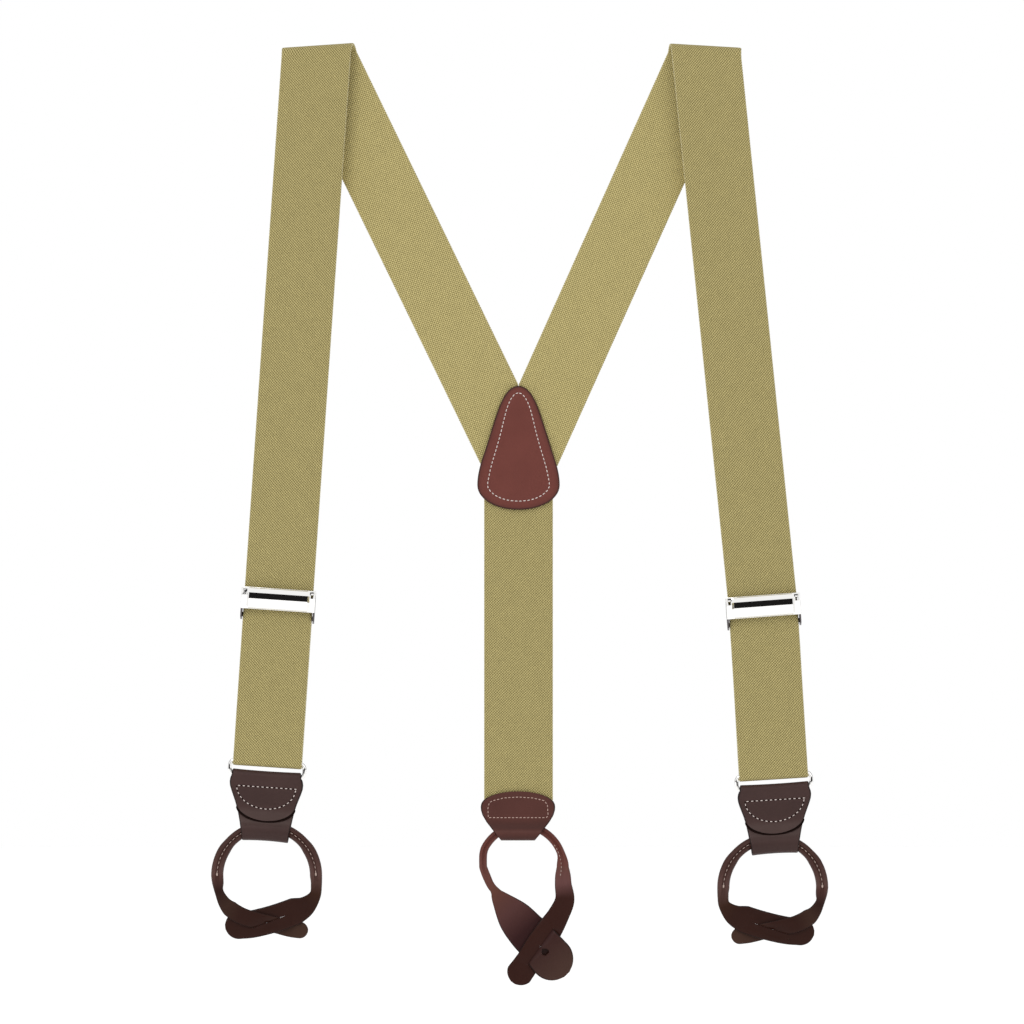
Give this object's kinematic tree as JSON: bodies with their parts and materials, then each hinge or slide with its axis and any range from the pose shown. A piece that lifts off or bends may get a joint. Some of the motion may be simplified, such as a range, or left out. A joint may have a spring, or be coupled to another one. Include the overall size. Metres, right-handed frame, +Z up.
{
  "type": "suspenders",
  "caption": "Button-on dress suspenders: olive webbing, leather crosspatch, sliding metal adjusters, wire rings, stitched leather tabs and crossed leather button straps.",
  "frame": {"origin": "centre of the crosspatch's back face", "axes": "+Z up along the hanging straps, +Y out of the crosspatch's back face towards the wearer, front faces -Y, +X towards the right-hand strap as seen from the front"},
  "size_m": [0.3411, 0.0179, 0.5213],
  "materials": {
    "webbing": "olive ribbed elastic webbing, matte",
    "red_brown_leather": "smooth red-brown leather, satin",
    "dark_brown_leather": "smooth dark brown leather, satin",
    "nickel": "polished nickel plate"
  },
  "bodies": {
    "back_yoke": {"left_rear_strap": "webbing", "right_rear_strap": "webbing", "left_shoulder_turn": "webbing", "right_shoulder_turn": "webbing", "centre_strap": "webbing", "crosspatch_front": "red_brown_leather", "crosspatch_back": "red_brown_leather", "rear_tab": "red_brown_leather"},
    "left_front": {"left_front_strap": "webbing"},
    "left_web_end": {"left_return_strap": "webbing"},
    "left_adjuster": {"left_adjuster_frame": "nickel", "left_adjuster_pin": "nickel", "left_strap_hem": "webbing"},
    "left_lever": {"left_adjuster_lever": "nickel"},
    "left_ring_link": {"left_ring": "nickel"},
    "left_leather_tab": {"left_tab": "dark_brown_leather"},
    "left_button_end": {"left_button_strap": "dark_brown_leather"},
    "right_front": {"right_front_strap": "webbing"},
    "right_web_end": {"right_return_strap": "webbing"},
    "right_adjuster": {"right_adjuster_frame": "nickel", "right_adjuster_pin": "nickel", "right_strap_hem": "webbing"},
    "right_lever": {"right_adjuster_lever": "nickel"},
    "right_ring_link": {"right_ring": "nickel"},
    "right_leather_tab": {"right_tab": "dark_brown_leather"},
    "right_button_end": {"right_button_strap": "dark_brown_leather"},
    "rear_button_end": {"rear_button_strap": "red_brown_leather"}
  },
  "joints": [
    {"name": "left_shoulder_fold", "type": "hinge", "parent": "back_yoke", "child": "left_front", "pos_m": [-0.1117, -0.00655, 0.21785], "axis": [-0.9977, 0, -0.068], "range_deg": [0, 150], "deforming": ["left_shoulder_turn"]},
    {"name": "left_length_slide", "type": "slide", "parent": "left_front", "child": "left_web_end", "axis": [0.0689, 0, 0.9976], "range_m": [-0.05, 0.09], "stiffness_N_per_m": 40, "springref_m": 0.0065, "deforming": ["left_front_strap"]},
    {"name": "left_adjuster_slide", "type": "slide", "parent": "left_web_end", "child": "left_adjuster", "axis": [0.0689, 0, 0.9976], "range_m": [-0.05, 0.09], "stiffness_N_per_m": 40, "springref_m": 0.003, "deforming": ["left_return_strap"]},
    {"name": "left_adjuster_lever", "type": "hinge", "parent": "left_adjuster", "child": "left_lever", "pos_m": [-0.13225, -0.013, -0.07951], "axis": [-0.9977, 0, 0.068], "range_deg": [0, 80]},
    {"name": "left_ring_swing", "type": "hinge", "parent": "left_web_end", "child": "left_ring_link", "pos_m": [-0.13863, -0.0082, -0.17351], "axis": [-0.9977, 0, 0.0677], "range_deg": [-60, 60]},
    {"name": "left_tab_swing", "type": "hinge", "parent": "left_ring_link", "child": "left_leather_tab", "pos_m": [-0.13917, -0.0082, -0.18149], "axis": [-0.9977, 0, 0.0677], "range_deg": [-60, 60]},
    {"name": "left_button_strap_shift", "type": "hinge", "parent": "left_leather_tab", "child": "left_button_end", "pos_m": [-0.1392, -0.0082, -0.2365], "axis": [0, 1, 0], "range_deg": [-15, 15]},
    {"name": "right_shoulder_fold", "type": "hinge", "parent": "back_yoke", "child": "right_front", "pos_m": [0.1037, -0.00655, 0.21775], "axis": [-0.9982, 0, 0.0593], "range_deg": [0, 150], "deforming": ["right_shoulder_turn"]},
    {"name": "right_length_slide", "type": "slide", "parent": "right_front", "child": "right_web_end", "axis": [-0.1022, 0, 0.9948], "range_m": [-0.05, 0.09], "stiffness_N_per_m": 40, "springref_m": 0.0065, "deforming": ["right_front_strap"]},
    {"name": "right_adjuster_slide", "type": "slide", "parent": "right_web_end", "child": "right_adjuster", "axis": [-0.1022, 0, 0.9948], "range_m": [-0.05, 0.09], "stiffness_N_per_m": 40, "springref_m": 0.003, "deforming": ["right_return_strap"]},
    {"name": "right_adjuster_lever", "type": "hinge", "parent": "right_adjuster", "child": "right_lever", "pos_m": [0.13471, -0.013, -0.08301], "axis": [-0.9973, 0, -0.0732], "range_deg": [0, 80]},
    {"name": "right_ring_swing", "type": "hinge", "parent": "right_web_end", "child": "right_ring_link", "pos_m": [0.14085, -0.0082, -0.18041], "axis": [-0.998, 0, -0.0624], "range_deg": [-60, 60]},
    {"name": "right_tab_swing", "type": "hinge", "parent": "right_ring_link", "child": "right_leather_tab", "pos_m": [0.14135, -0.0082, -0.18839], "axis": [-0.998, 0, -0.0624], "range_deg": [-60, 60]},
    {"name": "right_button_strap_shift", "type": "hinge", "parent": "right_leather_tab", "child": "right_button_end", "pos_m": [0.1405, -0.0082, -0.2431], "axis": [0, 1, 0], "range_deg": [-15, 15]},
    {"name": "rear_button_strap_shift", "type": "hinge", "parent": "back_yoke", "child": "rear_button_end", "pos_m": [0.0018, -0.00255, -0.2321], "axis": [0, 1, 0], "range_deg": [-15, 15]}
  ],
  "couplings": [
    {"joint": "left_length_slide", "follows": "left_adjuster_slide", "ratio": 1},
    {"joint": "right_length_slide", "follows": "right_adjuster_slide", "ratio": 1}
  ]
}
